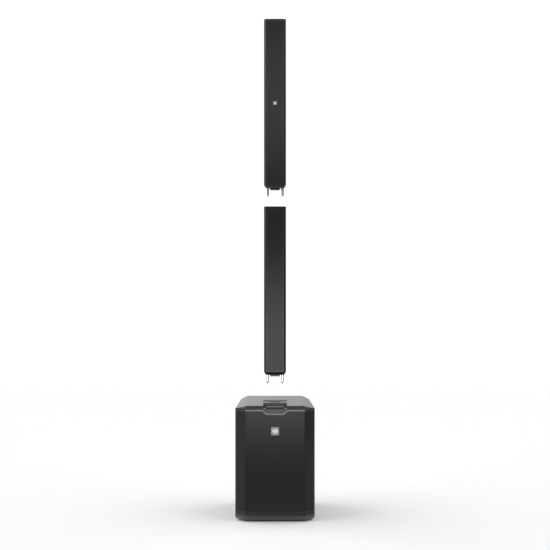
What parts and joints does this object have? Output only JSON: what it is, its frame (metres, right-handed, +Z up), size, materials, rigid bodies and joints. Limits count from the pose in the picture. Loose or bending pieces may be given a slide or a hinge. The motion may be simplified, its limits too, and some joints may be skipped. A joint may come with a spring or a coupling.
{
  "type": "column pa system",
  "caption": "Portable column loudspeaker: a bass cabinet with rear controls and two slim loudspeaker columns that plug into one another and into the cabinet's top.",
  "frame": {"origin": "on the floor, under the middle of the whole object's bounding box", "axes": "+Z up; the grilles face -Y and the controls +Y; +X is to the right of someone facing the grilles"},
  "size_m": [0.38, 0.4622, 2.4246],
  "materials": {
    "cabinet_wood": "textured black polyurea paint on birch plywood",
    "cover_plastic": "moulded black ABS, fine leather grain",
    "grille_steel": "perforated steel, black powder coat",
    "foam": "open-cell black foam",
    "badge_metal": "satin aluminium plate",
    "foot_rubber": "moulded rubber",
    "screw_steel": "blackened steel screws",
    "pin_steel": "ground and polished steel",
    "bush_steel": "turned steel bushes",
    "contact_block": "glass-filled nylon with plated contacts",
    "column_aluminium": "extruded aluminium, satin black powder coat",
    "board_mdf": "painted board",
    "chassis": "black-coated steel and cast aluminium",
    "motor": "plated steel and ferrite",
    "cone_paper": "doped paper cone",
    "surround_rubber": "rubber half roll",
    "port_plastic": "moulded black port",
    "panel_steel": "black powder-coated steel with white print",
    "heatsink_aluminium": "black anodised extrusion",
    "window": "smoked clear window",
    "socket_plastic": "moulded nylon sockets",
    "socket_metal": "nickel-plated shells",
    "knob_plastic": "soft-touch black knob",
    "button_plastic": "grey push button",
    "tab_red": "red release tab",
    "rocker_plastic": "black rocker",
    "board_green": "populated circuit board"
  },
  "bodies": {
    "cabinet": {"cabinet_box": "cabinet_wood", "base_tray": "cover_plastic", "rubber_feet": "foot_rubber", "foot_screws": "screw_steel", "front_baffle": "board_mdf", "port_tubes": "port_plastic", "front_grille": "grille_steel", "grille_foam": "foam", "cabinet_badge": "badge_metal", "top_cover": "cover_plastic", "seat_bushes": "bush_steel", "seat_socket": "contact_block", "woofer_frame": "chassis", "woofer_motor": "motor", "woofer_surround": "surround_rubber", "amp_panel": "panel_steel", "panel_screws": "screw_steel", "heatsink": "heatsink_aluminium", "display_window": "window", "combo_sockets": "socket_plastic", "link_socket": "socket_metal", "phono_sockets": "socket_metal", "mains_inlet": "socket_plastic", "amp_board": "board_green"},
    "lower_column": {"lower_housing": "column_aluminium", "lower_grille": "grille_steel", "lower_baffle": "board_mdf", "lower_top_cap": "cover_plastic", "lower_nose": "cover_plastic", "lower_guide_pins": "pin_steel", "lower_plug": "contact_block", "lower_driver_frames": "chassis", "lower_surrounds": "surround_rubber", "column_seat_bushes": "bush_steel", "column_seat_socket": "contact_block"},
    "upper_column": {"upper_housing": "column_aluminium", "upper_grille": "grille_steel", "upper_baffle": "board_mdf", "upper_top_cap": "cover_plastic", "upper_nose": "cover_plastic", "upper_guide_pins": "pin_steel", "upper_plug": "contact_block", "upper_driver_frames": "chassis", "upper_surrounds": "surround_rubber", "tweeter_horn": "port_plastic", "tweeter_driver": "motor", "column_badge": "badge_metal"},
    "woofer_cone": {"woofer_cone": "cone_paper"},
    "lower_cones": {"lower_cones": "cone_paper"},
    "upper_cones": {"upper_cones": "cone_paper"},
    "button_mode": {"button_mode": "button_plastic"},
    "button_pair": {"button_pair": "button_plastic"},
    "knob_channel_1": {"knob_channel_1": "knob_plastic"},
    "knob_channel_2": {"knob_channel_2": "knob_plastic"},
    "knob_line": {"knob_line": "knob_plastic"},
    "knob_sub_level": {"knob_sub_level": "knob_plastic"},
    "menu_encoder": {"menu_encoder": "knob_plastic"},
    "latch_tab_left": {"latch_tab_left": "tab_red"},
    "latch_tab_right": {"latch_tab_right": "tab_red"},
    "power_rocker": {"power_rocker": "rocker_plastic"}
  },
  "joints": [
    {"name": "lower_column_lift", "type": "slide", "parent": "cabinet", "child": "lower_column", "axis": [0, 0, 1], "range_m": [-0.137, 0]},
    {"name": "upper_column_lift", "type": "slide", "parent": "lower_column", "child": "upper_column", "axis": [0, 0, 1], "range_m": [-0.095, 0]},
    {"name": "woofer_stroke", "type": "slide", "parent": "cabinet", "child": "woofer_cone", "axis": [0, -1, 0], "range_m": [-0.008, 0.008], "stiffness_N_per_m": 2500},
    {"name": "lower_cone_stroke", "type": "slide", "parent": "lower_column", "child": "lower_cones", "axis": [0, -1, 0], "range_m": [-0.002, 0.002], "stiffness_N_per_m": 6000},
    {"name": "upper_cone_stroke", "type": "slide", "parent": "upper_column", "child": "upper_cones", "axis": [0, -1, 0], "range_m": [-0.002, 0.002], "stiffness_N_per_m": 6000},
    {"name": "knob_channel_1_turn", "type": "hinge", "parent": "cabinet", "child": "knob_channel_1", "pos_m": [-0.09, 0.2161, 0.385], "axis": [0, -1, 0], "range_deg": [-150, 150]},
    {"name": "knob_channel_2_turn", "type": "hinge", "parent": "cabinet", "child": "knob_channel_2", "pos_m": [-0.03, 0.2161, 0.385], "axis": [0, -1, 0], "range_deg": [-150, 150]},
    {"name": "knob_line_turn", "type": "hinge", "parent": "cabinet", "child": "knob_line", "pos_m": [0.03, 0.2161, 0.385], "axis": [0, -1, 0], "range_deg": [-150, 150]},
    {"name": "knob_sub_level_turn", "type": "hinge", "parent": "cabinet", "child": "knob_sub_level", "pos_m": [0.09, 0.2161, 0.385], "axis": [0, -1, 0], "range_deg": [-150, 150]},
    {"name": "menu_encoder_turn", "type": "hinge", "parent": "cabinet", "child": "menu_encoder", "pos_m": [0.085, 0.2161, 0.447], "axis": [0, -1, 0], "continuous": true},
    {"name": "button_pair_press", "type": "slide", "parent": "cabinet", "child": "button_pair", "axis": [0, -1, 0], "range_m": [0, 0.0015], "stiffness_N_per_m": 900},
    {"name": "button_mode_press", "type": "slide", "parent": "cabinet", "child": "button_mode", "axis": [0, -1, 0], "range_m": [0, 0.0015], "stiffness_N_per_m": 900},
    {"name": "latch_tab_left_press", "type": "slide", "parent": "cabinet", "child": "latch_tab_left", "axis": [0, -1, 0], "range_m": [0, 0.0012], "stiffness_N_per_m": 900},
    {"name": "latch_tab_right_press", "type": "slide", "parent": "cabinet", "child": "latch_tab_right", "axis": [0, -1, 0], "range_m": [0, 0.0012], "stiffness_N_per_m": 900},
    {"name": "power_rocker_tip", "type": "hinge", "parent": "cabinet", "child": "power_rocker", "pos_m": [-0.025, 0.2141, 0.14], "axis": [1, 0, 0], "range_deg": [0, 14]}
  ]
}
